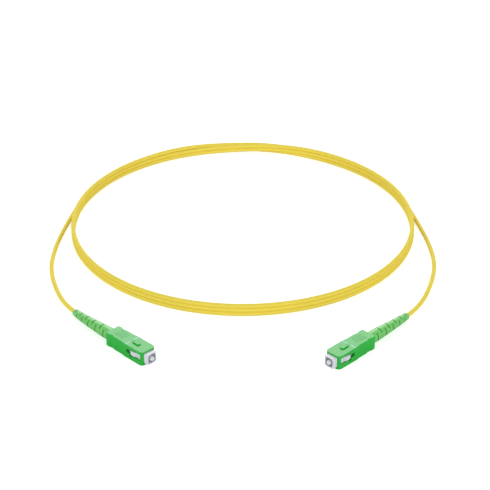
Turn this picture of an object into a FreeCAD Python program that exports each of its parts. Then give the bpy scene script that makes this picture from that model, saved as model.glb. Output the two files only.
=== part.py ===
"""Fibre optic patch cord: a simplex cord laid in a three-turn coil, with a
push-pull square connector on each end.  Millimetres, +Z up.

The origin is on the surface that the cord lies on, at the middle of the two
connectors' footprint.  Each connector is modelled along its own +X axis, with
x = 0 at the front face of its sliding grip, and then turned and moved to its
place.  The cord is laid around a circle behind the connectors."""

import FreeCAD, Part
import math
import os
from FreeCAD import Placement, Rotation, Vector

# ---------------------------------------------------------------- dimensions

# Cord
cord_diameter = 2.25           # jacket outside
jacket_bore = 1.5              # jacket inside, where the strength yarn lies
buffer_diameter = 0.9          # tight-buffered fibre

# Coil
coil_radius = 92.6             # circle that the stacked turns follow
coil_centre = (0.93, 117.26)
turn_gap = 0.44                # free space between neighbouring turns
coil_start_bearing = 169.3     # where the cord from end A joins the circle
coil_end_bearing = 11.5        # where the cord leaves the circle for end B
coil_turns = 3                 # turns stacked one above another

# Grip, the outer shell that the fingers hold
grip_length = 26.3
grip_width = 9.0
grip_height = 7.4
grip_front_corner = 2.0        # rounding of the two front corners, from above
grip_step_behind = 13.55       # where the finger hold starts
grip_step = 0.12               # how much narrower it is there, each side
grip_top_drop = 0.03           # fall of the top towards the rear end
grip_bottom_rise = 0.10
grip_edge_round = 0.16
waist_depth = 0.13             # long hollow of the finger hold
neck_depth = 0.38              # short hollow near the rear end
grip_travel = 1.7

# Plug frame, the white inner body that enters the socket
frame_width = 6.0
frame_height = 5.7
frame_length = 21.2
frame_nose = 2.2               # how far it stands out of the grip
frame_corner = 0.8
frame_front_round = 0.25
slide_clearance = 0.10         # grip on plug frame, each side
nose_opening = 4.5             # rounded square recess around the ferrule
nose_corner = 1.1
nose_shoulder = 0.9            # thickness of the round-bored seat behind it
nose_shoulder_bore = 4.4
nose_depth = 6.9               # front of the frame to the back of the seat
ear_height = 1.05              # latch ear on each side of the frame
ear_length = 5.15
ear_half_width = 1.2

# Ferrule and what carries it
ferrule_diameter = 2.499
ferrule_length = 10.5
ferrule_proud = 0.8            # how far its tip stands out of the frame
ferrule_taper = 0.01           # radius lost towards the end that is pressed in
tip_chamfer_length = 0.75
tip_face_radius = 0.80
tip_angle = 8.0                # slant of the polished end
glass_diameter = 0.125
flange_diameter = 4.9
flange_thickness = 2.0
flange_tube_wall = 0.25        # over the end of the ferrule that is pressed in
flange_tube_length = 4.15
running_clearance = 0.05       # radius, between pieces that slide or turn
ferrule_travel = 1.0
buffer_bore_clearance = 0.10   # radius, buffered fibre in the flange

# Spring
spring_wire = 0.45
spring_clearance = 0.075       # around the flange's tube
spring_turns = 6
spring_end_gap = 0.03

# Rear body, crimp and boot
rear_barrel_length = 5.8
rear_plate_thickness = 1.5
crimp_tail_diameter = 3.8
crimp_tail_length = 6.7
guide_tube_diameter = 1.6
guide_tube_bore = 1.05
yarn_thickness = 0.26
yarn_clearance = 0.02
crimp_wall = 0.40
crimp_neck_length = 3.4
jacket_clearance = 0.05
boot_collar_diameter = 6.25
boot_collar_length = 5.5       # straight-sided length behind the grip
boot_length = 31.0             # what shows behind the grip
boot_tail_diameter = 3.75
boot_tail_round = 0.40
boot_straight = 11.7           # straight length behind the grip, before the bend
boot_bore_clearance = 0.10
slot_width = 0.60
slot_count = 10
first_slot = 3.9               # behind the grip
last_slot = 28.5

# Index marks
mark_length = 3.0
mark_width = 0.7
mark_gap = 2.25                # plain space between the two marks
mark_behind = 11.9             # behind the grip's front face
mark_depth = 0.20
mark_proud = 0.02

# How each connector lies: front of the grip, bearing of its axis, and the boot's
# bend, which the roll tips over so that the tail comes down towards the surface
connectors = {
    "a": {"front": (-43.58, -18.03), "bearing": -45.2, "bend": -14.2, "roll": -33.1},
    "b": {"front": (43.46, -21.38), "bearing": -134.6, "bend": 12.65, "roll": 38.0},
}

# Corners of the free stretches, from each boot towards the coil: x, y, height
floor_height = cord_diameter / 2 + 0.01
routes = {
    "a": [(-87.23, 31.37, 1.20), (-93.67, 44.94, floor_height), (-99.76, 68.04, floor_height),
          (-99.67, 91.43, floor_height)],
    "b": [(87.45, 27.82, 1.17), (95.13, 43.38, floor_height), (102.15, 69.99, floor_height),
          (101.66, 93.87, floor_height)],
}
lead_length = {"a": 19.5, "b": 18.8}   # last run, which meets the coil squarely

# ------------------------------------------------------- values that follow

turn_pitch = cord_diameter + turn_gap
axis_height = grip_height / 2
jacket_radius = cord_diameter / 2
grip_half = grip_width / 2
cavity_half_width = frame_width / 2 + slide_clearance
cavity_half_height = frame_height / 2 + slide_clearance

frame_front = frame_nose
frame_rear = frame_front - frame_length
flange_front = frame_front - nose_depth - running_clearance
flange_rear = flange_front - flange_thickness
flange_tube_rear = flange_rear - flange_tube_length
cavity_radius = flange_diameter / 2 + running_clearance
flange_tube_radius = ferrule_diameter / 2 + flange_tube_wall
spring_mean_radius = flange_tube_radius + spring_clearance + spring_wire / 2
ferrule_tip = frame_front + ferrule_proud
ferrule_rear = ferrule_tip - ferrule_length
buffer_end = ferrule_rear - ferrule_travel - 0.3
barrel_front = frame_rear + rear_barrel_length
plate_rear = frame_rear - rear_plate_thickness
cavity_rear = plate_rear - 0.4
tail_rear = plate_rear - crimp_tail_length
tail_radius = crimp_tail_diameter / 2
crimp_bore = tail_radius + yarn_thickness + 2 * yarn_clearance
crimp_outside = crimp_bore + crimp_wall
crimp_front = plate_rear - 0.2
crimp_step = tail_rear - 0.4
crimp_rear = crimp_step - crimp_neck_length
jacket_end = crimp_step
collar_radius = boot_collar_diameter / 2
boot_front = cavity_rear - grip_travel - 0.2
bend_start = -grip_length - boot_straight
bend_length = boot_length - boot_straight
boot_bore = jacket_radius + boot_bore_clearance

# Windows in the grip's sides: the ears show through them
window_rear = -9.0
window_front = -1.95
window_half_height = 1.75
ledge_rear = -7.7              # shallow ledge below and above the window
ledge_front = -1.2
ledge_half_height = 2.60
ledge_depth = 0.60
pocket_rear = -11.1
pocket_bottom = -0.5
pocket_top = 1.55
ear_rear = window_rear + 0.05
ear_crest_front = ear_rear + ear_length - 2.0
ear_front = ear_rear + ear_length

# Finger hold: fine ribs on the top and bottom,
rib_field_front = -16.2
rib_pitch = 0.84
rib_count = 8
rib_half_length = 2.55
rib_groove_width = 0.30
rib_groove_depth = 0.06

# and upright flutes in its sides
flute_front = -15.4
flute_pitch = 1.75
flute_count = 4
flute_radius = 1.6
flute_depth = 0.12

# Key, the raised rib on top that fits the socket's slot
key_front = -6.15
key_rear = -10.9
key_width = 2.15
key_height = 0.60

report_lines = []


# ------------------------------------------------------------ small helpers

def block(x0, x1, y0, y1, z0, z1):
    """Box between two corners."""
    return Part.makeBox(x1 - x0, y1 - y0, z1 - z0, Vector(x0, y0, z0))


def rod(x0, x1, radius):
    """Cylinder on the connector's axis, from x0 forward to x1."""
    return Part.makeCylinder(radius, x1 - x0, Vector(x0, 0, 0), Vector(1, 0, 0))


def turned(profile):
    """Solid of revolution about X from (x, radius) corners."""
    corners = [Vector(x, 0, r) for x, r in profile]
    face = Part.Face(Part.makePolygon(corners + corners[:1]))
    return face.revolve(Vector(0, 0, 0), Vector(1, 0, 0), 360)


def tube(x0, x1, outside, inside):
    """Straight tube on the connector's axis, by its two radii."""
    return rod(x0, x1, outside).cut(rod(x0 - 1, x1 + 1, inside))


def mirrored_pair(shape, normal):
    """The shape with its mirror image across a plane through the axis."""
    return [shape, shape.mirror(Vector(0, 0, 0), normal)]


def arc_or_line(start, corner, finish):
    """Arc from start to finish, tangent to both legs of the corner."""
    middle = (start + finish) * 0.5
    rise = corner - middle
    half_chord = (finish - start).Length / 2
    if rise.Length < 1e-6 * half_chord:
        return Part.LineSegment(start, finish).toShape()
    half_turn = math.atan2(rise.Length, half_chord)
    sagitta = half_chord * math.tan(half_turn / 2)
    crown = middle + rise * (sagitta / rise.Length)
    return Part.Arc(start, crown, finish).toShape()


def biarc(p0, t0, p1, t1):
    """Two arcs that leave p0 along t0, meet smoothly and reach p1 along t1."""
    span = p1 - p0
    along = span.dot(t0 + t1)
    spread = 2 * (1 - t0.dot(t1))
    if spread < 1e-12:
        reach = span.dot(span) / (2 * along)
    else:
        reach = (math.sqrt(along ** 2 + spread * span.dot(span)) - along) / spread
    corner0 = p0 + t0 * reach
    corner1 = p1 - t1 * reach
    joint = (corner0 + corner1) * 0.5
    return [arc_or_line(p0, corner0, joint), arc_or_line(joint, corner1, p1)]


def rounded_rectangle(x, half_width, bottom, top, corner):
    """Wire across the connector's axis at x, its corners rounded."""
    inset = corner * (1 - math.sqrt(0.5))
    flat = half_width - corner
    sides = [(1, top, top - corner, top - inset), (-1, top, top - corner, top - inset),
             (-1, bottom, bottom + corner, bottom + inset), (1, bottom, bottom + corner, bottom + inset)]
    edges = []
    for index, (side, lid, shoulder, crown) in enumerate(sides):
        flank = Vector(x, side * half_width, shoulder)
        lid_end = Vector(x, side * flat, lid)
        middle = Vector(x, side * (half_width - inset), crown)
        other = sides[(index + 1) % 4]
        if index % 2 == 0:
            edges.append(Part.Arc(flank, middle, lid_end).toShape())
            edges.append(Part.LineSegment(lid_end, Vector(x, other[0] * flat, other[1])).toShape())
        else:
            edges.append(Part.Arc(lid_end, middle, flank).toShape())
            edges.append(Part.LineSegment(flank, Vector(x, other[0] * half_width, other[2])).toShape())
    return Part.Wire(edges)


def sweep(edges, start, direction, radius):
    """Round rod of one radius along a chain of edges."""
    circle = Part.Wire(Part.makeCircle(radius, start, direction))
    solid = Part.Wire(edges).makePipeShell([circle], True, False)
    if solid.Volume < 0:
        solid.reverse()
    return solid


def length_of(edges):
    return sum(edge.Length for edge in edges)


def note(text):
    report_lines.append(text)


# --------------------------------------------------------------------- grip

def grip_front():
    """Front section: rounded front corners from above, and broken edges."""
    top = grip_height / 2
    half = grip_half
    flat = grip_half - grip_front_corner
    inset = grip_front_corner * (1 - math.sqrt(0.5))
    corners = [Vector(0, -flat, -top), Vector(0, flat, -top), Vector(-grip_front_corner, half, -top),
               Vector(-grip_step_behind, half, -top), Vector(-grip_step_behind, -half, -top),
               Vector(-grip_front_corner, -half, -top)]
    outline = [
        Part.LineSegment(corners[0], corners[1]).toShape(),
        Part.Arc(corners[1], Vector(-inset, half - inset, -top), corners[2]).toShape(),
        Part.LineSegment(corners[2], corners[3]).toShape(),
        Part.LineSegment(corners[3], corners[4]).toShape(),
        Part.LineSegment(corners[4], corners[5]).toShape(),
        Part.Arc(corners[5], Vector(-inset, inset - half, -top), corners[0]).toShape(),
    ]
    body = Part.Face(Part.Wire(outline)).extrude(Vector(0, 0, grip_height))
    rims = [e for e in body.Edges
            if abs(e.CenterOfMass.z) > top - 0.01 and e.CenterOfMass.x > 0.1 - grip_step_behind]
    return body.makeFillet(grip_edge_round, rims)


def hold_section(x, half_width, edge_round):
    """Rounded rectangle across the finger hold, lower towards the rear end."""
    share = (-x - grip_step_behind) / (grip_length - grip_step_behind)
    top = grip_height / 2 - grip_top_drop * share
    bottom = -grip_height / 2 + grip_bottom_rise * share
    return rounded_rectangle(x, half_width, bottom, top, edge_round)


def grip_hold():
    """Finger hold: a long hollow, a ridge, a short hollow and a flared end."""
    hold = grip_half - grip_step
    front = -grip_step_behind
    ridge = front - 6.8
    flare = -grip_length + 2.2
    neck = (ridge - 0.4 + flare) / 2
    groups = [
        [(front, hold, 0.25), (front - 1.8, hold - 0.75 * waist_depth, 0.3),
         ((front + ridge) / 2, hold - waist_depth, 0.32), (ridge + 1.8, hold - 0.85 * waist_depth, 0.32),
         (ridge, hold - 0.08, 0.3)],
        [(ridge, hold - 0.08, 0.3), (ridge - 0.4, hold - 0.26, 0.32)],
        [(ridge - 0.4, hold - 0.26, 0.32), (neck, hold - neck_depth, 0.35), (flare, hold - 0.05, 0.3)],
        [(flare, hold - 0.05, 0.3), (-grip_length + 0.25, hold - 0.08, 0.3), (-grip_length, hold - 0.25, 0.3)],
    ]
    pieces = []
    for index, group in enumerate(groups):
        sections = [hold_section(*station) for station in group]
        pieces.append(Part.makeLoft(sections, True, index in (1, 3)))
    return pieces


def grip_body():
    return grip_front().fuse(grip_hold())


def grip_key():
    """Key rib: straight sides, a round front end and a ramp at the rear."""
    half = key_width / 2
    base = grip_height / 2 - 0.3
    crest = grip_height / 2 + key_height
    front_centre = key_front - half
    outline = [
        Part.LineSegment(Vector(key_rear, -half, base), Vector(front_centre, -half, base)).toShape(),
        Part.Arc(Vector(front_centre, -half, base), Vector(key_front, 0, base),
                 Vector(front_centre, half, base)).toShape(),
        Part.LineSegment(Vector(front_centre, half, base), Vector(key_rear, half, base)).toShape(),
        Part.LineSegment(Vector(key_rear, half, base), Vector(key_rear, -half, base)).toShape(),
    ]
    key = Part.Face(Part.Wire(outline)).extrude(Vector(0, 0, crest - base))
    ramp = [Vector(key_rear - 1, -grip_half, grip_height / 2),
            Vector(key_rear, -grip_half, grip_height / 2),
            Vector(key_rear + 1.2, -grip_half, crest + 0.01),
            Vector(key_rear - 1, -grip_half, crest + 0.01)]
    return key.cut(Part.Face(Part.makePolygon(ramp + ramp[:1])).extrude(Vector(0, grip_width, 0)))


def mark_pair(depth_below, proud, margin):
    """Two bars across the top, with a plain space between them."""
    top = grip_height / 2
    inner = mark_gap / 2
    bars = []
    for side in (1, -1):
        near = side * (inner - margin)
        far = side * (inner + mark_length + margin)
        bars.append(block(-mark_behind - mark_width / 2 - margin, -mark_behind + mark_width / 2 + margin,
                          min(near, far), max(near, far), top - depth_below, top + proud))
    return bars


def side_window():
    """Cut for one side: the window, a shallow sloped ledge and the pocket behind."""
    inner = cavity_half_width - 0.5
    outer = grip_half + 0.5
    floor = grip_half - ledge_depth
    spread = ledge_half_height - window_half_height
    ledge = []
    for side in (1, -1):
        slope = [Vector(ledge_rear, floor, 0), Vector(ledge_rear, floor, side * window_half_height),
                 Vector(ledge_rear, outer, side * (ledge_half_height + spread * 0.5 / ledge_depth)),
                 Vector(ledge_rear, outer, 0)]
        wedge = Part.Face(Part.makePolygon(slope + slope[:1]))
        ledge.append(wedge.extrude(Vector(ledge_front - ledge_rear, 0, 0)))
    window = block(window_rear, window_front, inner, outer, -window_half_height, window_half_height)
    pocket = block(pocket_rear, window_rear + 0.1, inner, outer, pocket_bottom, pocket_top)
    return window.fuse(ledge + [pocket])


def side_flutes():
    """Upright round grooves in both sides of the finger hold."""
    cuts = []
    for index in range(flute_count):
        axis_y = grip_half - grip_step - waist_depth - flute_depth + flute_radius
        groove = Part.makeCylinder(flute_radius, grip_height + 2,
                                   Vector(flute_front - index * flute_pitch, axis_y, -grip_height / 2 - 1))
        cuts += mirrored_pair(groove, Vector(0, 1, 0))
    return cuts


def make_grip():
    top = grip_height / 2
    body = grip_body().fuse(grip_key())
    cuts = [
        block(cavity_rear, 1, -cavity_half_width, cavity_half_width,
              -cavity_half_height, cavity_half_height),
        rod(-grip_length - 1, cavity_rear + 0.1, collar_radius + slide_clearance),
    ]
    cuts += mirrored_pair(side_window(), Vector(0, 1, 0))
    cuts += mark_pair(mark_depth, 1, 0)
    cuts += side_flutes()
    for index in range(rib_count):
        front = rib_field_front - index * rib_pitch
        groove = block(front - rib_groove_width, front, -rib_half_length, rib_half_length,
                       top - grip_top_drop * (-front - grip_step_behind)
                       / (grip_length - grip_step_behind) - rib_groove_depth, top + 1)
        cuts.append(groove)
        cuts.append(groove.mirror(Vector(0, 0, 0), Vector(0, 0, 1)))
    return body.cut(cuts)


def make_index_marks():
    """White inlays that show when the connector is fully home in a socket."""
    return Part.makeCompound(mark_pair(mark_depth, mark_proud, 0))


# --------------------------------------------------------------- plug frame

def latch_ear():
    """Ear on the frame's side: square at the rear, bowed, and low at the front."""
    root = frame_width / 2 - 0.2
    crest = frame_width / 2 + ear_height
    z = -ear_half_width
    edges = [
        Part.LineSegment(Vector(ear_rear, root, z), Vector(ear_rear, crest - 0.25, z)).toShape(),
        Part.Arc(Vector(ear_rear, crest - 0.25, z), Vector((ear_rear + ear_crest_front) / 2, crest, z),
                 Vector(ear_crest_front, crest - 0.2, z)).toShape(),
        Part.LineSegment(Vector(ear_crest_front, crest - 0.2, z), Vector(ear_front, root, z)).toShape(),
        Part.LineSegment(Vector(ear_front, root, z), Vector(ear_rear, root, z)).toShape(),
    ]
    return Part.Face(Part.Wire(edges)).extrude(Vector(0, 0, 2 * ear_half_width))


def snap_window(margin, reach):
    """Block through the frame's top wall, where the rear body's catch sits."""
    middle = barrel_front - 2.6
    half = 0.7 + margin
    return block(middle - half, middle + half, -1.2 - margin, 1.2 + margin, 2.0, reach)


def make_plug_frame():
    section = rounded_rectangle(frame_rear, frame_width / 2, -frame_height / 2, frame_height / 2,
                                frame_corner)
    body = Part.Face(section).extrude(Vector(frame_length, 0, 0))
    front_edges = [e for e in body.Edges if e.BoundBox.XMin > frame_front - 1e-4]
    body = body.makeFillet(frame_front_round, front_edges)
    body = body.fuse(mirrored_pair(latch_ear(), Vector(0, 1, 0)))
    seat_back = flange_front + running_clearance
    half = nose_opening / 2
    opening = Part.Face(rounded_rectangle(seat_back + nose_shoulder, half, -half, half, nose_corner))
    body = body.cut([opening.extrude(Vector(nose_depth, 0, 0)),
                     rod(seat_back, frame_front + 1, nose_shoulder_bore / 2),
                     rod(frame_rear - 1, seat_back, cavity_radius)])
    keys = [block(flange_rear - ferrule_travel - 0.2, seat_back, -0.35, 0.35,
                  key_inner_radius(), cavity_radius + 0.1)]
    keys.append(keys[0].mirror(Vector(0, 0, 0), Vector(0, 0, 1)))
    body = body.fuse(keys)
    relief = block(pocket_rear, ear_rear - 0.1, cavity_radius - 0.5, frame_width, pocket_bottom, pocket_top)
    return body.cut(mirrored_pair(snap_window(0.1, frame_height), Vector(0, 0, 1))
                    + mirrored_pair(relief, Vector(0, 1, 0)))


def key_inner_radius():
    """How near the axis the two anti-turn keys in the frame's cavity reach."""
    return spring_mean_radius + spring_wire / 2 + 0.1


# ---------------------------------------------------- ferrule and its carrier

def end_plane_cut(from_x):
    """Everything in front of the polished, slanted end."""
    cutter = block(0, 3, -2, 2, -2, 2)
    cutter.rotate(Vector(0, 0, 0), Vector(0, 1, 0), tip_angle)
    cutter.translate(Vector(from_x, 0, 0))
    return cutter


def make_ferrule():
    """Zirconia cylinder, bored for the glass, chamfered and ground at 8 degrees."""
    radius = ferrule_diameter / 2
    funnel = buffer_diameter / 2
    glass = glass_diameter / 2
    body = turned([
        (ferrule_rear, funnel), (ferrule_rear, radius - ferrule_taper), (flange_front, radius),
        (ferrule_tip - tip_chamfer_length, radius),
        (ferrule_tip + 0.12, tip_face_radius), (ferrule_tip + 0.12, glass),
        (ferrule_rear + 1.0, glass),
    ])
    return body.cut(end_plane_cut(ferrule_tip))


def make_fibre_tip():
    """Bare glass, bonded in the ferrule and polished with it."""
    return rod(ferrule_rear - 0.2, ferrule_tip + 0.12, glass_diameter / 2).cut(end_plane_cut(ferrule_tip))


def make_flange():
    """Metal flange pressed on the ferrule: its notches keep it from turning."""
    radius = flange_diameter / 2
    seat = ferrule_diameter / 2
    bore = buffer_diameter / 2 + buffer_bore_clearance
    body = turned([
        (flange_front, seat), (flange_front, radius - 0.2), (flange_front - 0.2, radius),
        (flange_rear, radius), (flange_rear, flange_tube_radius), (flange_tube_rear + 0.2, flange_tube_radius),
        (flange_tube_rear, flange_tube_radius - 0.2), (flange_tube_rear, bore), (ferrule_rear, bore),
        (ferrule_rear, seat - ferrule_taper),
    ])
    notch = block(flange_rear - 0.1, flange_front + 0.1, -0.42, 0.42, key_inner_radius() - 0.08, radius + 1)
    return body.cut(mirrored_pair(notch, Vector(0, 0, 1)))


def make_spring():
    """Compression spring between the flange and the rear body, as biarcs of a
    quarter turn."""
    first = flange_rear - spring_wire / 2 - spring_end_gap
    last = barrel_front + spring_wire / 2 + spring_end_gap
    quarters = 4 * spring_turns
    rise = (last - first) / quarters
    stations = []
    for index in range(quarters + 1):
        angle = math.pi / 2 * index
        point = Vector(first + rise * index, spring_mean_radius * math.cos(angle),
                       spring_mean_radius * math.sin(angle))
        slope = Vector(rise / (math.pi / 2), -spring_mean_radius * math.sin(angle),
                       spring_mean_radius * math.cos(angle))
        stations.append((point, slope.normalize()))
    edges = []
    for (p0, t0), (p1, t1) in zip(stations, stations[1:]):
        edges += biarc(p0, t0, p1, t1)
    return sweep(edges, stations[0][0], stations[0][1], spring_wire / 2)


# ------------------------------------------------------ rear body and crimp

def make_rear_body():
    """Rear body: barrel that snaps into the frame, stop plate and crimp tail."""
    barrel = rod(frame_rear, barrel_front, cavity_radius - running_clearance)
    plate = block(plate_rear, frame_rear, -frame_width / 2 + 0.1, frame_width / 2 - 0.1,
                  -frame_height / 2 + 0.1, frame_height / 2 - 0.1)
    groove_count = 6
    profile = [(plate_rear, 0), (plate_rear, tail_radius)]
    step = (crimp_tail_length - 1.0) / groove_count
    for index in range(groove_count):
        front = plate_rear - 0.5 - index * step
        profile += [(front, tail_radius), (front - 0.15, tail_radius - 0.15),
                    (front - 0.45, tail_radius - 0.15), (front - 0.60, tail_radius)]
    profile += [(tail_rear + 0.2, tail_radius), (tail_rear, tail_radius - 0.2), (tail_rear, 0)]
    catches = mirrored_pair(snap_window(0, frame_height / 2 - 0.1), Vector(0, 0, 1))
    body = barrel.fuse([plate, turned(profile)] + catches)
    return body.cut(rod(tail_rear - 1, barrel_front + 1, guide_tube_diameter / 2 + running_clearance))


def make_guide_tube():
    """Plastic tube that keeps the buffered fibre straight behind the flange."""
    return tube(tail_rear + 0.3, barrel_front + 0.6, guide_tube_diameter / 2, guide_tube_bore / 2)


def make_yarn():
    """Strength yarn: out of the jacket's end and folded over the crimp tail, as
    the sleeve that it packs to."""
    inside = tail_radius + yarn_clearance
    outside = inside + yarn_thickness
    fold = buffer_diameter / 2 + buffer_bore_clearance
    return turned([
        (crimp_front - 0.4, inside), (crimp_front - 0.4, outside), (jacket_end + 0.02, outside),
        (jacket_end + 0.02, fold), (tail_rear - 0.02, fold), (tail_rear - 0.02, inside),
    ])


def make_crimp_ring():
    """Crimp ring: wide over the yarn and pressed to a hexagon, narrow on the jacket."""
    neck_bore = jacket_radius + jacket_clearance
    body = turned([
        (crimp_front, crimp_bore), (crimp_front, crimp_outside - 0.1), (crimp_front - 0.1, crimp_outside),
        (crimp_step, crimp_outside), (crimp_step - 0.5, neck_bore + crimp_wall),
        (crimp_rear, neck_bore + crimp_wall), (crimp_rear, neck_bore),
        (crimp_step, neck_bore), (crimp_step, crimp_bore),
    ])
    across_flats = 2 * crimp_outside - 0.25
    corner = across_flats / math.sqrt(3)
    hexagon = [Vector(crimp_rear - 1, corner * math.cos(math.radians(60 * k)),
                      corner * math.sin(math.radians(60 * k))) for k in range(7)]
    return body.common(Part.Face(Part.makePolygon(hexagon)).extrude(Vector(crimp_front - crimp_rear + 2, 0, 0)))


# --------------------------------------------------------------------- boot

def boot_axis(distance, lay):
    """Placement of the boot's axis a distance behind the grip: straight, then a
    circular bend in a rolled plane.  Its local +X points to the connector."""
    along = max(0.0, distance - boot_straight)
    turn = math.radians(lay["bend"]) * along / bend_length
    x = -grip_length - min(distance, boot_straight)
    if abs(turn) > 1e-9:
        radius = bend_length / math.radians(lay["bend"])
        x -= radius * math.sin(turn)
        y = -radius * (1 - math.cos(turn))
    else:
        x -= along
        y = 0.0
    roll = Rotation(Vector(1, 0, 0), lay["roll"])
    bent = Rotation(Vector(0, 0, 1), math.degrees(turn))
    return Placement(roll.multVec(Vector(x, y, 0)), roll.multiply(bent).multiply(roll.inverted()))


def boot_radius(distance):
    """Outside radius: a plain collar, then an even taper to the tail."""
    share = max(0.0, distance - boot_collar_length) / (boot_length - boot_collar_length)
    return collar_radius + (boot_tail_diameter / 2 - collar_radius) * share


def boot_ring(distance, radius, lay):
    """Circle across the boot's axis."""
    place = boot_axis(distance, lay)
    ring = Part.Wire(Part.makeCircle(radius, Vector(0, 0, 0), Vector(1, 0, 0)))
    ring.Placement = place
    return ring


def slot_places():
    """Distances behind the grip of the slots' middles, closer towards the tail."""
    weights = [1.0 - 0.036 * index for index in range(slot_count - 1)]
    places = [first_slot]
    for weight in weights:
        places.append(places[-1] + (last_slot - first_slot) * weight / sum(weights))
    return places


def make_boot(lay):
    """Slotted strain relief, moulded in one with its collar."""
    tail_start = boot_length - boot_tail_round
    body = rod(-grip_length - boot_collar_length, boot_front, collar_radius)
    rings = [boot_collar_length + (tail_start - boot_collar_length) * k / 8 for k in range(9)]
    straight = [d for d in rings if d < boot_straight] + [boot_straight]
    curved = [boot_straight] + [d for d in rings if d > boot_straight]
    for group in (straight, curved):
        body = body.fuse(Part.makeLoft([boot_ring(d, boot_radius(d), lay) for d in group], True, False))
    tail_radius_end = boot_radius(tail_start)
    for index in range(2):
        d0 = tail_start + boot_tail_round * (0, 0.6)[index]
        d1 = tail_start + boot_tail_round * (0.6, 1.0)[index]
        r0 = tail_radius_end - boot_tail_round * (0, 0.25)[index]
        r1 = tail_radius_end - boot_tail_round * (0.25, 0.7)[index]
        body = body.fuse(Part.makeLoft([boot_ring(d0, r0, lay), boot_ring(d1, r1, lay)], True, True))
    crimp_room = crimp_outside + jacket_clearance
    neck_room = jacket_radius + jacket_clearance + crimp_wall + jacket_clearance
    cavity = turned([
        (boot_front + 1, 0), (boot_front + 1, crimp_room), (crimp_step - 0.3, crimp_room),
        (crimp_step - 1.2, neck_room), (crimp_rear - 0.3, neck_room),
        (crimp_rear - 0.3 - (neck_room - boot_bore), boot_bore), (bend_start, boot_bore), (bend_start, 0),
    ])
    bend_edges = [arc_between(boot_straight, boot_length + 1, lay)]
    start = boot_axis(boot_straight, lay)
    bore = sweep(bend_edges, start.Base, Vector(1, 0, 0), boot_bore)
    cuts = [cavity, bore]
    for index, distance in enumerate(slot_places()):
        radius = boot_radius(distance)
        room = neck_room + 0.1 if -grip_length - distance > crimp_rear - 1.0 else boot_bore
        floor = max(room + 0.12, 0.5 * radius)
        for side in (1, -1):
            low, high = sorted((side * floor, side * (radius + 1)))
            if index % 2:
                slot = block(-slot_width / 2, slot_width / 2, -radius - 1, radius + 1, low, high)
            else:
                slot = block(-slot_width / 2, slot_width / 2, low, high, -radius - 1, radius + 1)
            slot.Placement = boot_axis(distance, lay).multiply(slot.Placement)
            cuts.append(slot)
    return body.cut(cuts)


def arc_between(d0, d1, lay):
    """The boot's bent axis between two distances behind the grip, as one arc."""
    points = [boot_axis(d, lay).Base for d in (d0, (d0 + d1) / 2, d1)]
    return Part.Arc(*points).toShape()


# --------------------------------------------------------------------- cord

def place_of(end):
    """Placement of a connector: its own +X axis turned to its bearing."""
    here = connectors[end]
    return Placement(Vector(here["front"][0], here["front"][1], axis_height),
                     Rotation(Vector(0, 0, 1), here["bearing"]))


def smooth(share):
    """Smooth step from 0 to 1."""
    share = min(1.0, max(0.0, share))
    return share * share * (3 - 2 * share)


# Bearings of the crossing.  There the last turn rolls over the one below it and
# comes down outside, the stacked turns rise, and the first turn rolls in under them.
crossing_from, crossing_to = 130.0, 40.0
crossing_steps = 12


def crossing_state(bearing):
    """Angles that the upper and the lower roll have turned through, and how much
    of the last turn's way down is done."""
    share = (crossing_from - bearing) / (crossing_from - crossing_to)
    over = math.pi / 2 * smooth(share / 0.5)
    under = math.pi / 2 * smooth((share - 0.30) / 0.55)
    return over, under, smooth((share - 0.42) / 0.58)


def coil_point(bearing):
    """Centre of the cord at a bearing that runs on below zero, turn by turn."""
    turn = int(math.floor((180.0 - bearing) / 360.0))
    over, under, lowered = crossing_state(bearing + 360.0 * turn)
    if turn == 0:
        outward = math.cos(under)
        level = 0.0
    elif turn < coil_turns:
        outward = 0.0
        level = turn - 1 + math.sin(under)
    else:
        outward = math.sin(over)
        level = turn - 2 + math.cos(over) + math.sin(under) - (turn - 1) * lowered
    radius = coil_radius + outward * turn_pitch
    angle = math.radians(bearing)
    return Vector(coil_centre[0] + radius * math.cos(angle), coil_centre[1] + radius * math.sin(angle),
                  floor_height + level * turn_pitch)


def coil_direction(bearing):
    """Direction of travel there, towards falling bearings."""
    small = 0.01
    return (coil_point(bearing - small) - coil_point(bearing + small)).normalize()


def coil_bearings():
    """Bearings where biarcs meet: quarter turns or less, close at the crossing."""
    last = coil_end_bearing - 360.0 * coil_turns
    bearings = [coil_start_bearing]
    for turn in range(coil_turns + 1):
        base = -360.0 * turn
        marks = [180.0]
        marks += [crossing_from - (crossing_from - crossing_to) * k / crossing_steps
                  for k in range(crossing_steps + 1)]
        marks += [-15.0, -70.0, -125.0]
        bearings += [base + m for m in marks if last + 0.5 < base + m < bearings[0] - 0.5]
    return bearings + [last]


def coil_path():
    """Edges of the coil's centre line, with a straight diameter at each end."""
    bearings = coil_bearings()
    points = [coil_point(b) for b in bearings]
    ways = [coil_direction(b) for b in bearings]
    start = points[0] - ways[0] * cord_diameter
    finish = points[-1] + ways[-1] * cord_diameter
    edges = [Part.LineSegment(start, points[0]).toShape()]
    for index in range(len(points) - 1):
        edges += biarc(points[index], ways[index], points[index + 1], ways[index + 1])
    edges.append(Part.LineSegment(points[-1], finish).toShape())
    return edges, start, ways[0], finish, ways[-1]


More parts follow.
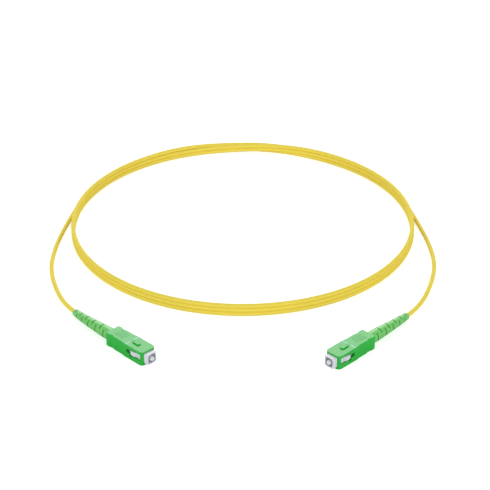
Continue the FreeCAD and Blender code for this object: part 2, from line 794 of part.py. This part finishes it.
def least_coil_gap(edges):
    """Least free space between neighbouring turns, measured on points."""
    points = []
    travelled = 0.0
    for edge in edges:
        count = max(2, int(edge.Length / 1.0))
        for k in range(count):
            parameter = edge.FirstParameter + (edge.LastParameter - edge.FirstParameter) * k / count
            points.append((travelled + edge.Length * k / count, edge.valueAt(parameter)))
        travelled += edge.Length
    cells = {}
    for where, point in points:
        bearing = math.degrees(math.atan2(point.y - coil_centre[1], point.x - coil_centre[0]))
        cells.setdefault(int(bearing // 2) % 180, []).append((where, point))
    least = float("inf")
    for cell, members in cells.items():
        others = members + cells.get((cell + 1) % 180, [])
        for where, point in members:
            for there, other in others:
                if abs(where - there) > coil_radius:
                    least = min(least, (point - other).Length)
    return least - cord_diameter


def run_path(end, coil_face, coil_way):
    """Edges from inside the crimp to the coil: through the boot, then straight
    runs joined by arcs as large as the runs allow."""
    place = place_of(end)
    lay = connectors[end]
    inside = [place.multVec(Vector(x, 0, 0)) for x in (jacket_end, bend_start)]
    boot_points = [place.multVec(boot_axis(d, lay).Base)
                   for d in (boot_straight, boot_straight + bend_length / 2, boot_length)]
    edges = [Part.LineSegment(inside[0], inside[1]).toShape(), Part.Arc(*boot_points).toShape()]
    last_corner = coil_face - coil_way * (lead_length[end] - cord_diameter)
    corners = [boot_points[2]] + [Vector(*p) for p in routes[end]] + [last_corner, coil_face]
    tail_way = place.Rotation.multVec(boot_axis(boot_length, lay).Rotation.multVec(Vector(-1, 0, 0)))
    first_run = (corners[1] - corners[0]).Length
    corners[1] = corners[0] + tail_way * first_run
    here = corners[0]
    radii = []
    for before, corner, after in zip(corners, corners[1:], corners[2:]):
        way_in = (corner - before).normalize()
        way_out = (after - corner).normalize()
        turn = way_in.getAngle(way_out)
        cut = 0.45 * min((corner - before).Length, (after - corner).Length)
        radii.append(cut / math.tan(turn / 2))
        arc_start = corner - way_in * cut
        arc_finish = corner + way_out * cut
        edges.append(Part.LineSegment(here, arc_start).toShape())
        edges.append(arc_or_line(arc_start, corner, arc_finish))
        here = arc_finish
    edges.append(Part.LineSegment(here, corners[-1]).toShape())
    note("run %s: runs %s" % (end, [round((q - p).Length, 1) for p, q in zip(corners, corners[1:])]))
    note("run %s: radii %s" % (end, [round(r, 1) for r in radii]))
    note("run %s: boot tail at %s, leaves along %s" % (end, list(corners[0]), list(tail_way)))
    return edges, inside[0], (inside[1] - inside[0]).normalize()


def jacket(name, edges, start, way):
    """Hollow jacket along a path, checked against its section times its length."""
    outside = sweep(edges, start, way, jacket_radius)
    inside = sweep(edges, start, way, jacket_bore / 2)
    solid = outside.cut(inside)
    section = math.pi * (jacket_radius ** 2 - (jacket_bore / 2) ** 2)
    length = length_of(edges)
    note("%s: length %.1f, volume over section times length %.5f"
         % (name, length, solid.Volume / (section * length)))
    return solid


def make_cord():
    """Jacket in three stretches, and the buffered fibre in one piece inside."""
    coil_edges, start, start_way, finish, finish_way = coil_path()
    run_a, inside_a, way_a = run_path("a", start, start_way)
    run_b, inside_b, way_b = run_path("b", finish, finish_way * -1)
    parts = {
        "cord_run_a": jacket("cord_run_a", run_a, inside_a, way_a),
        "cord_coil": jacket("cord_coil", coil_edges, start, start_way),
        "cord_run_b": jacket("cord_run_b", run_b, inside_b, way_b),
    }
    tip_a = place_of("a").multVec(Vector(buffer_end, 0, 0))
    tip_b = place_of("b").multVec(Vector(buffer_end, 0, 0))
    fibre_edges = [Part.LineSegment(tip_a, inside_a).toShape()] + run_a + coil_edges
    fibre_edges += run_b[::-1] + [Part.LineSegment(inside_b, tip_b).toShape()]
    parts["fibre_buffer"] = sweep(fibre_edges, tip_a, way_a, buffer_diameter / 2)
    note("least gap between turns %.3f" % least_coil_gap(coil_edges))
    note("jacket length from crimp to crimp %.1f" % (length_of(run_a) + length_of(coil_edges) + length_of(run_b)))
    return parts


# ----------------------------------------------------------------- assembly

def make_connector(end):
    """All pieces of one connector, turned and moved to where it lies."""
    pieces = {
        "grip": make_grip(),
        "index_marks": make_index_marks(),
        "plug_frame": make_plug_frame(),
        "ferrule": make_ferrule(),
        "fibre_tip": make_fibre_tip(),
        "ferrule_flange": make_flange(),
        "ferrule_spring": make_spring(),
        "rear_body": make_rear_body(),
        "guide_tube": make_guide_tube(),
        "strength_yarn": make_yarn(),
        "crimp_ring": make_crimp_ring(),
        "boot": make_boot(connectors[end]),
    }
    place = place_of(end)
    placed = {}
    for name, shape in pieces.items():
        shape = shape.copy()
        shape.Placement = place.multiply(shape.Placement)
        placed["%s_%s" % (name, end)] = shape
    return placed


os.makedirs("parts", exist_ok=True)
model = make_connector("a")
model.update(make_connector("b"))
box = FreeCAD.BoundBox()
for shape in model.values():
    box.add(shape.BoundBox)
note("connectors reach x %.2f to %.2f, y %.2f to %.2f, z %.2f to %.2f"
     % (box.XMin, box.XMax, box.YMin, box.YMax, box.ZMin, box.ZMax))
model.update(make_cord())
for name, shape in sorted(model.items()):
    shape.exportStep("parts/%s.step" % name)
    note("%-18s solids %d  valid %s  volume %.2f" % (name, len(shape.Solids), shape.isValid(), shape.Volume))
print("\n".join(report_lines))
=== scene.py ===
"""Looks of a fibre optic patch cord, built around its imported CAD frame: a yellow
simplex cord laid in a three-turn coil, with a green push-pull connector on each
end, on a pale surface under soft light.  Metres, +Z up."""

import math

import bpy
import numpy as np
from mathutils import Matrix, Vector


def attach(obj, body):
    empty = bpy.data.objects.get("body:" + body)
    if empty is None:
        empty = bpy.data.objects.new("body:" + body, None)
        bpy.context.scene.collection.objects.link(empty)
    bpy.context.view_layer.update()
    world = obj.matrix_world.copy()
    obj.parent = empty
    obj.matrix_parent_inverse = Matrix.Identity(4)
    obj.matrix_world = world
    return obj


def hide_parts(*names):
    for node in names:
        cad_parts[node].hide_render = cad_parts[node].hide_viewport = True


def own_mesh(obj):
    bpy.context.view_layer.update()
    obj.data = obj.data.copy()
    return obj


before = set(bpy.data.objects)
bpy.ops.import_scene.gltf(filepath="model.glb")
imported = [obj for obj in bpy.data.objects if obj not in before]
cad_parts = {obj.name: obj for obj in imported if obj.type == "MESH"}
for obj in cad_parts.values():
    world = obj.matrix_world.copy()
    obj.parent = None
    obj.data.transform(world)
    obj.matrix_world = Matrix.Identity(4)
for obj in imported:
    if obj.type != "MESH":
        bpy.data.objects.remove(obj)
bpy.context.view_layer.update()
scene = bpy.context.scene

# ---------------------------------------------------------------- the camera
# A long lens on a stand in front of the two connectors.  It looks down at
# them and at the coil behind by a little under thirty degrees.
look_at = Vector((0.00217, 0.09661, 0.0))
camera_distance = 0.8706
camera_pitch = math.radians(29.43)
camera_lens = 118.7
sensor_width = 36.0
nearest_seen, furthest_seen = 0.05, 50.0

camera_data = bpy.data.cameras.new("camera")
camera_data.lens = camera_lens
camera_data.sensor_width = sensor_width
camera_data.clip_start = nearest_seen
camera_data.clip_end = furthest_seen
camera = bpy.data.objects.new("camera", camera_data)
back_and_up = Vector((0.0, -math.cos(camera_pitch), math.sin(camera_pitch)))
camera.location = look_at + camera_distance * back_and_up
camera.rotation_euler = (math.pi / 2 - camera_pitch, 0.0, 0.0)
scene.collection.objects.link(camera)
scene.camera = camera

# ------------------------------------------------------------------ the cord
# Extruded yellow jacket over aramid yarn and a buffered fibre, in one length
# from crimp to crimp.  It keeps the curve of its reel, so it lies in a neat
# coil: three turns stacked, and a little under half a turn beside them.
cord_diameter = 0.00225
coil_centre = Vector((0.00093, 0.11726, 0.0))
coil_radius = 0.0926
turn_pitch = 1.01 * cord_diameter      # neighbouring turns touch
floor_height = 0.001135                # of the cord's centre, where it lies
leaves_a = 169.3                       # bearing where the cord from A joins the circle
leaves_b = 11.5                        # bearing where it leaves for connector B
coil_turns = 3
full_turn = 360.0
turns_start = 180.0                    # bearing from which turns are counted
bearing_step = 7.5
bow_outwards = 1 / 0.99786             # control points of a circle lie outside it

# The crossing, where each turn climbs by a pitch: the bearing where it starts
# and the degrees that it takes, then the share of it at which each of its
# three motions begins, and how much of it each lasts.
crossing_from, crossing_span = 130.0, 90.0
roll_over = (0.0, 0.5)
roll_under = (0.30, 0.55)
come_down = (0.42, 0.58)

# Corners of the loose ends, from the crimp outwards.
cord_from_a = [
    (-0.06303, 0.00155, 0.00370), (-0.07719, 0.01582, 0.00370),
    (-0.08723, 0.03137, 0.00120), (-0.09367, 0.04494, 0.001135),
    (-0.09976, 0.06804, 0.001135), (-0.09967, 0.09143, 0.001135),
    (-0.09631, 0.11580, 0.001135),
]
cord_from_b = [
    (0.06284, -0.00173, 0.00370), (0.07695, 0.01258, 0.00370),
    (0.08745, 0.02782, 0.00117), (0.09513, 0.04338, 0.001135),
    (0.10215, 0.06999, 0.001135), (0.10166, 0.09387, 0.001135),
    (0.09772, 0.11783, 0.001135),
]
jacket_yellow = (0.93, 0.755, 0.100)


def eased(share, start, length):
    """Smooth step 3s^2 - 2s^3, where s is how far share has come through the stretch
    that begins at start and lasts length, held between 0 and 1."""
    through = min(1.0, max(0.0, (share - start) / length))
    return through * through * (3 - 2 * through)


def coil_point(bearing):
    """Control point of the coil at a bearing that runs on below zero, turn by turn.
    In the crossing each turn climbs by one pitch.  The last one rolls over the turn
    below it, by the sine and cosine of an eased quarter turn, and comes down outside;
    the first one rolls in under the stack in the same way."""
    turn = math.floor((turns_start - bearing) / full_turn)
    share = (crossing_from - (bearing + full_turn * turn)) / crossing_span
    over = math.pi / 2 * eased(share, *roll_over)
    under = math.pi / 2 * eased(share, *roll_under)
    if turn == 0:
        outward, level = math.cos(under), 0.0
    elif turn < coil_turns:
        outward, level = 0.0, turn - 1 + math.sin(under)
    else:
        outward = math.sin(over)
        climbed = turn - 2 + math.cos(over) + math.sin(under)
        level = climbed - (turn - 1) * eased(share, *come_down)
    radius = (coil_radius + outward * turn_pitch) * bow_outwards
    angle = math.radians(bearing)
    return (coil_centre.x + radius * math.cos(angle),
            coil_centre.y + radius * math.sin(angle),
            floor_height + level * turn_pitch)


coil_end = leaves_b - full_turn * coil_turns
coil_steps = round((leaves_a - coil_end) / bearing_step)
step = (leaves_a - coil_end) / coil_steps
middles = [leaves_a - step * (k + 0.5) for k in range(coil_steps)]
coil_points = [coil_point(bearing) for bearing in middles]
cord_points = cord_from_a + coil_points + cord_from_b[::-1]

cord_curve = bpy.data.curves.new("cord", "CURVE")
cord_curve.dimensions = "3D"
cord_curve.bevel_depth = cord_diameter / 2
cord_curve.bevel_resolution = 7
cord_curve.resolution_u = 8
cord_curve.use_fill_caps = True
spline = cord_curve.splines.new("NURBS")
spline.points.add(len(cord_points) - 1)
spline.points.foreach_set("co", np.array([(*p, 1.0) for p in cord_points]).ravel())
spline.order_u = 3
spline.use_endpoint_u = True
cord = bpy.data.objects.new("cord", cord_curve)
scene.collection.objects.link(cord)

millimetre = 0.001
colour_patches = 180.0                 # patches of slightly different colour in a metre
colour_detail = 3.0
skin_detail = 4.0
skin_raggedness = 0.6
roughness_swing = 0.06
skin_strength = 0.6
sheen_roughness = 0.4
coat_roughness = 0.45


def plastic(name, colour, roughness, grain=1.2, depth=0.0015, mottle=0.05, sheen=0.0,
            gloss=0.5, coat=0.0, stretch=(1.0, 1.0, 1.0), turn=0.0):
    """Moulded or extruded plastic.  Its colour drifts a little over a few millimetres.
    Its skin has grain grains to a millimetre, stretched and turned to run along the
    piece, which vary its roughness and stand depth millimetres high.  Sheen and a soft
    coat are added where they are asked for."""
    material = bpy.data.materials.new(name)
    material.use_nodes = True
    nodes = material.node_tree.nodes
    links = material.node_tree.links
    shader = nodes["Principled BSDF"]
    place = nodes.new("ShaderNodeTexCoord")
    along = nodes.new("ShaderNodeMapping")
    along.vector_type = "TEXTURE"
    along.inputs["Rotation"].default_value = (0.0, 0.0, turn)
    along.inputs["Scale"].default_value = stretch
    links.new(place.outputs["Object"], along.inputs["Vector"])

    drift = nodes.new("ShaderNodeTexNoise")
    drift.inputs["Scale"].default_value = colour_patches
    drift.inputs["Detail"].default_value = colour_detail
    links.new(place.outputs["Object"], drift.inputs["Vector"])
    tones = nodes.new("ShaderNodeMix")
    tones.data_type = "RGBA"
    tones.inputs["A"].default_value = (*[c * (1 - mottle) for c in colour], 1.0)
    tones.inputs["B"].default_value = (*[min(1.0, c * (1 + mottle)) for c in colour], 1.0)
    links.new(drift.outputs["Fac"], tones.inputs["Factor"])
    links.new(tones.outputs["Result"], shader.inputs["Base Color"])

    skin = nodes.new("ShaderNodeTexNoise")
    skin.inputs["Scale"].default_value = grain / millimetre
    skin.inputs["Detail"].default_value = skin_detail
    skin.inputs["Roughness"].default_value = skin_raggedness
    links.new(along.outputs["Vector"], skin.inputs["Vector"])
    worn = nodes.new("ShaderNodeMapRange")
    worn.inputs["To Min"].default_value = roughness - roughness_swing
    worn.inputs["To Max"].default_value = roughness + roughness_swing
    links.new(skin.outputs["Fac"], worn.inputs["Value"])
    links.new(worn.outputs["Result"], shader.inputs["Roughness"])
    bump = nodes.new("ShaderNodeBump")
    bump.inputs["Distance"].default_value = depth * millimetre
    bump.inputs["Strength"].default_value = skin_strength
    links.new(skin.outputs["Fac"], bump.inputs["Height"])
    links.new(bump.outputs["Normal"], shader.inputs["Normal"])
    shader.inputs["Specular IOR Level"].default_value = gloss
    if sheen:
        shader.inputs["Sheen Weight"].default_value = sheen
        shader.inputs["Sheen Roughness"].default_value = sheen_roughness
    if coat:
        shader.inputs["Coat Weight"].default_value = coat
        shader.inputs["Coat Roughness"].default_value = coat_roughness
    return material


cord_curve.materials.append(plastic("yellow_jacket", jacket_yellow, roughness=0.55,
                                    grain=0.9, mottle=0.03, gloss=0.12))
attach(cord, "cord_and_plugs")
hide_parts("cord_run_a", "cord_coil", "cord_run_b", "fibre_buffer")

# ----------------------------------------------------------------- the boots
# Strain relief of soft green elastomer, moulded in one piece, with slots that
# alternate side to side so that it bends evenly.
boot_green = (0.085, 0.545, 0.055)
ends = {"a": math.radians(-45.2), "b": math.radians(-134.6)}   # bearings of the plugs


def finish_node(name, material):
    """Gives a CAD node its material."""
    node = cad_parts[name]
    node.data.materials.clear()
    node.data.materials.append(material)


for end in ends:
    finish_node(f"boot_{end}",
                plastic(f"green_boot_{end}", boot_green, roughness=0.58, grain=1.6,
                        depth=0.002, sheen=0.45, gloss=1.0, coat=0.8))

# ------------------------------------------- rear body, yarn and crimp ring
# Pale grey rear body, over whose grooved tail the aramid yarn is folded back and
# held by a pressed steel ring.  A clear tube inside it guides the fibre.
body_grey = (0.72, 0.73, 0.74)
guide_clear = (0.80, 0.83, 0.85)
yarn_gold = (0.80, 0.62, 0.15)
ring_steel = (0.66, 0.65, 0.62)
yarn_stretch = (12.0, 1.0, 1.0)        # fibres run along the plug
drawn_stretch = (10.0, 1.0, 1.0)       # so do the ring's drawing lines


def metal(name, colour, roughness, stretch=(1.0, 1.0, 1.0), turn=0.0):
    """Drawn or turned metal: fine lines, stretched one way, vary its roughness and
    relief."""
    material = plastic(name, colour, roughness, grain=9.0, depth=0.003, mottle=0.06,
                       stretch=stretch, turn=turn)
    material.node_tree.nodes["Principled BSDF"].inputs["Metallic"].default_value = 1.0
    return material


for end, bearing in ends.items():
    finish_node(f"rear_body_{end}",
                plastic(f"grey_body_{end}", body_grey, roughness=0.45))
    finish_node(f"guide_tube_{end}",
                plastic(f"clear_guide_{end}", guide_clear, roughness=0.3))
    finish_node(f"strength_yarn_{end}",
                plastic(f"yarn_{end}", yarn_gold, roughness=0.6, grain=8.0, depth=0.05,
                        mottle=0.25, stretch=yarn_stretch, turn=bearing))
    finish_node(f"crimp_ring_{end}",
                metal(f"crimp_metal_{end}", ring_steel, roughness=0.30,
                      stretch=drawn_stretch, turn=bearing))

# -------------------------------------------------------- spring and flange
# Spring of round steel wire, wound in six turns, that sits on the rear body's
# barrel and keeps the ferrule forward against a nickel-plated flange pressed
# onto it.  In the real plug it shortens as the ferrule is pushed back; here it is wound
# at one fixed length.
plug_front = {"a": (-0.04358, -0.01803, 0.0037), "b": (0.04346, -0.02138, 0.0037)}
spring_wire = 0.45 * millimetre
spring_radius = 1.80 * millimetre
spring_turns = 6
rings_a_turn = 24
points_a_ring = 12
flange_rear = -6.75 * millimetre       # distances along the plug, from its front face
barrel_front = -13.2 * millimetre
spring_seat_gap = 0.03 * millimetre
wire_steel = (0.60, 0.60, 0.61)
nickel = (0.70, 0.68, 0.62)
turned_stretch = (1.0, 6.0, 6.0)       # turning lines run round the flange


def wound_spring(name, front, bearing):
    """Wire along a helix.  Its centre line is (x falling evenly, R cos t, R sin t), and
    the wire's surface is that centre plus r (n cos s + b sin s), where n points away
    from the axis and b is square to n and to the way the wire runs."""
    margin = spring_wire / 2 + spring_seat_gap
    t = np.linspace(0.0, 2 * np.pi * spring_turns, rings_a_turn * spring_turns + 1)
    s = np.linspace(0.0, 2 * np.pi, points_a_ring, endpoint=False)
    x = np.linspace(flange_rear - margin, barrel_front + margin, len(t))
    fall = (x[-1] - x[0]) / t[-1]
    outward = np.stack([0 * t, np.cos(t), np.sin(t)], axis=1)
    forward = np.stack([fall + 0 * t, -spring_radius * np.sin(t),
                        spring_radius * np.cos(t)], axis=1)
    forward /= np.linalg.norm(forward, axis=1, keepdims=True)
    sideways = np.cross(forward, outward)
    centre = np.stack([x, spring_radius * np.cos(t), spring_radius * np.sin(t)], axis=1)
    rings = centre[:, None] + spring_wire / 2 * (
        outward[:, None] * np.cos(s)[None, :, None]
        + sideways[:, None] * np.sin(s)[None, :, None])
    along = np.array([math.cos(bearing), math.sin(bearing), 0.0])
    across = np.array([-along[1], along[0], 0.0])
    points = (np.array(front) + rings[..., :1] * along + rings[..., 1:2] * across
              + rings[..., 2:] * np.array([0.0, 0.0, 1.0]))
    count, around = rings.shape[:2]
    i, j = np.meshgrid(np.arange(count - 1), np.arange(around), indexing="ij")
    near, far = j, (j + 1) % around
    quads = np.stack([i * around + near, i * around + far, (i + 1) * around + far,
                      (i + 1) * around + near], axis=-1).reshape(-1, 4)
    faces = quads.tolist() + [list(range(around))[::-1],
                              list(range((count - 1) * around, count * around))]
    mesh = bpy.data.meshes.new(name)
    mesh.from_pydata(points.reshape(-1, 3), [], faces)
    mesh.shade_smooth()
    spring = bpy.data.objects.new(name, mesh)
    scene.collection.objects.link(spring)
    return spring


for end, bearing in ends.items():
    spring = wound_spring(f"spring_{end}", plug_front[end], bearing)
    spring.data.materials.append(metal(f"spring_steel_{end}", wire_steel, roughness=0.25))
    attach(spring, "cord_and_plugs")
    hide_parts(f"ferrule_spring_{end}")
    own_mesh(spring)
    finish_node(f"ferrule_flange_{end}",
                metal(f"plated_brass_{end}", nickel, roughness=0.22,
                      stretch=turned_stretch, turn=bearing))

# ------------------------------------------------------- ferrule and fibre
# Zirconia cylinder, ground and polished, pressed into the flange.  The bare
# glass fibre is bonded in its bore and polished with its tip.
ceramic_white = (0.79, 0.80, 0.86)
glass_grey = (0.45, 0.50, 0.56)
for end in ends:
    finish_node(f"ferrule_{end}",
                plastic(f"zirconia_{end}", ceramic_white, roughness=0.14, grain=3.0,
                        depth=0.0005, mottle=0.01))
    finish_node(f"fibre_tip_{end}",
                plastic(f"glass_fibre_{end}", glass_grey, roughness=0.10, mottle=0.02))

# ------------------------------------------------------------ the plug frame
# White body that enters the socket, moulded with a satin skin.  It snaps onto
# the rear body and holds the flange and the spring between them.
frame_white = (0.76, 0.78, 0.85)
for end in ends:
    finish_node(f"plug_frame_{end}",
                plastic(f"white_frame_{end}", frame_white, roughness=0.36, mottle=0.015))

# -------------------------------------------------------- grip and its marks
# Green shell that slides on the frame: fine spark-eroded skin, and two white
# inlays that show when the connector is home.
grip_green = (0.009, 0.470, 0.038)
inlay_white = (0.45, 0.74, 0.68)       # takes some of the grip's green
for end in ends:
    finish_node(f"grip_{end}",
                plastic(f"green_grip_{end}", grip_green, roughness=0.38, grain=2.2,
                        depth=0.0012, mottle=0.03))
    finish_node(f"index_marks_{end}",
                plastic(f"white_inlay_{end}", inlay_white, roughness=0.45, mottle=0.01))

# -------------------------------------------------------- surface and light
# A pale table that runs out of sight, in a soft room.  A wide panel behind
# gives the upper faces their sheen, and one at each front side lights the
# sides of the connectors.
table_size = 20.0
table_white = (0.92, 0.92, 0.92)
table_roughness = 0.9
table_lift = 0.60                      # brings the table to white for the camera alone
room_light = 0.42                      # what the room sheds on the object
room_white = 1.0                       # what the camera, gloss and glass see of it
lit_point = (0.0, 0.08, 0.0)

table_mesh = bpy.data.meshes.new("table")
half = table_size / 2
table_mesh.from_pydata([(-half, -half, 0), (half, -half, 0), (half, half, 0),
                        (-half, half, 0)], [], [(0, 1, 2, 3)])
table = bpy.data.objects.new("table", table_mesh)
scene.collection.objects.link(table)
table_material = bpy.data.materials.new("table")
table_material.use_nodes = True
nodes = table_material.node_tree.nodes
links = table_material.node_tree.links
shader = nodes["Principled BSDF"]
shader.inputs["Base Color"].default_value = (*table_white, 1.0)
shader.inputs["Roughness"].default_value = table_roughness
shader.inputs["Specular IOR Level"].default_value = 0.0
shader.inputs["Emission Color"].default_value = (1.0, 1.0, 1.0, 1.0)
table_ray = nodes.new("ShaderNodeLightPath")
lift = nodes.new("ShaderNodeMath")
lift.operation = "MULTIPLY"
lift.inputs[1].default_value = table_lift
links.new(table_ray.outputs["Is Camera Ray"], lift.inputs[0])
links.new(lift.outputs[0], shader.inputs["Emission Strength"])
table_mesh.materials.append(table_material)

world = bpy.data.worlds.new("room")
scene.world = world
world.use_nodes = True
nodes = world.node_tree.nodes
links = world.node_tree.links
nodes.clear()
room_ray = nodes.new("ShaderNodeLightPath")
camera_or_gloss = nodes.new("ShaderNodeMath")
camera_or_gloss.operation = "MAXIMUM"
links.new(room_ray.outputs["Is Camera Ray"], camera_or_gloss.inputs[0])
links.new(room_ray.outputs["Is Glossy Ray"], camera_or_gloss.inputs[1])
any_of_three = nodes.new("ShaderNodeMath")
any_of_three.operation = "MAXIMUM"
links.new(camera_or_gloss.outputs[0], any_of_three.inputs[0])
links.new(room_ray.outputs["Is Transmission Ray"], any_of_three.inputs[1])
level = nodes.new("ShaderNodeMapRange")
level.inputs["To Min"].default_value = room_light
level.inputs["To Max"].default_value = room_white
links.new(any_of_three.outputs[0], level.inputs["Value"])
background = nodes.new("ShaderNodeBackground")
background.inputs["Color"].default_value = (1.0, 1.0, 1.0, 1.0)
links.new(level.outputs["Result"], background.inputs["Strength"])
world_output = nodes.new("ShaderNodeOutputWorld")
links.new(background.outputs[0], world_output.inputs[0])


def panel(name, azimuth, elevation, distance, width, height, watts):
    """Soft rectangular lamp that faces the middle of the object from a bearing and a
    height, both in degrees."""
    data = bpy.data.lights.new(name, "AREA")
    data.shape = "RECTANGLE"
    data.size = width
    data.size_y = height
    data.energy = watts
    lamp = bpy.data.objects.new(name, data)
    flat = distance * math.cos(math.radians(elevation))
    bearing = math.radians(azimuth)
    lamp.location = (lit_point[0] + flat * math.cos(bearing),
                     lit_point[1] + flat * math.sin(bearing),
                     distance * math.sin(math.radians(elevation)))
    towards = Vector(lit_point) - lamp.location
    lamp.visible_camera = False
    lamp.rotation_euler = towards.to_track_quat("-Z", "Y").to_euler()
    scene.collection.objects.link(lamp)


panel("panel_behind", azimuth=90, elevation=36, distance=1.6, width=1.0, height=0.75,
      watts=11.5)
panel("panel_left", azimuth=-140, elevation=14, distance=1.8, width=1.2, height=0.6,
      watts=10.8)
panel("panel_right", azimuth=-40, elevation=14, distance=1.8, width=1.2, height=0.6,
      watts=10.8)

scene.view_settings.view_transform = "Standard"
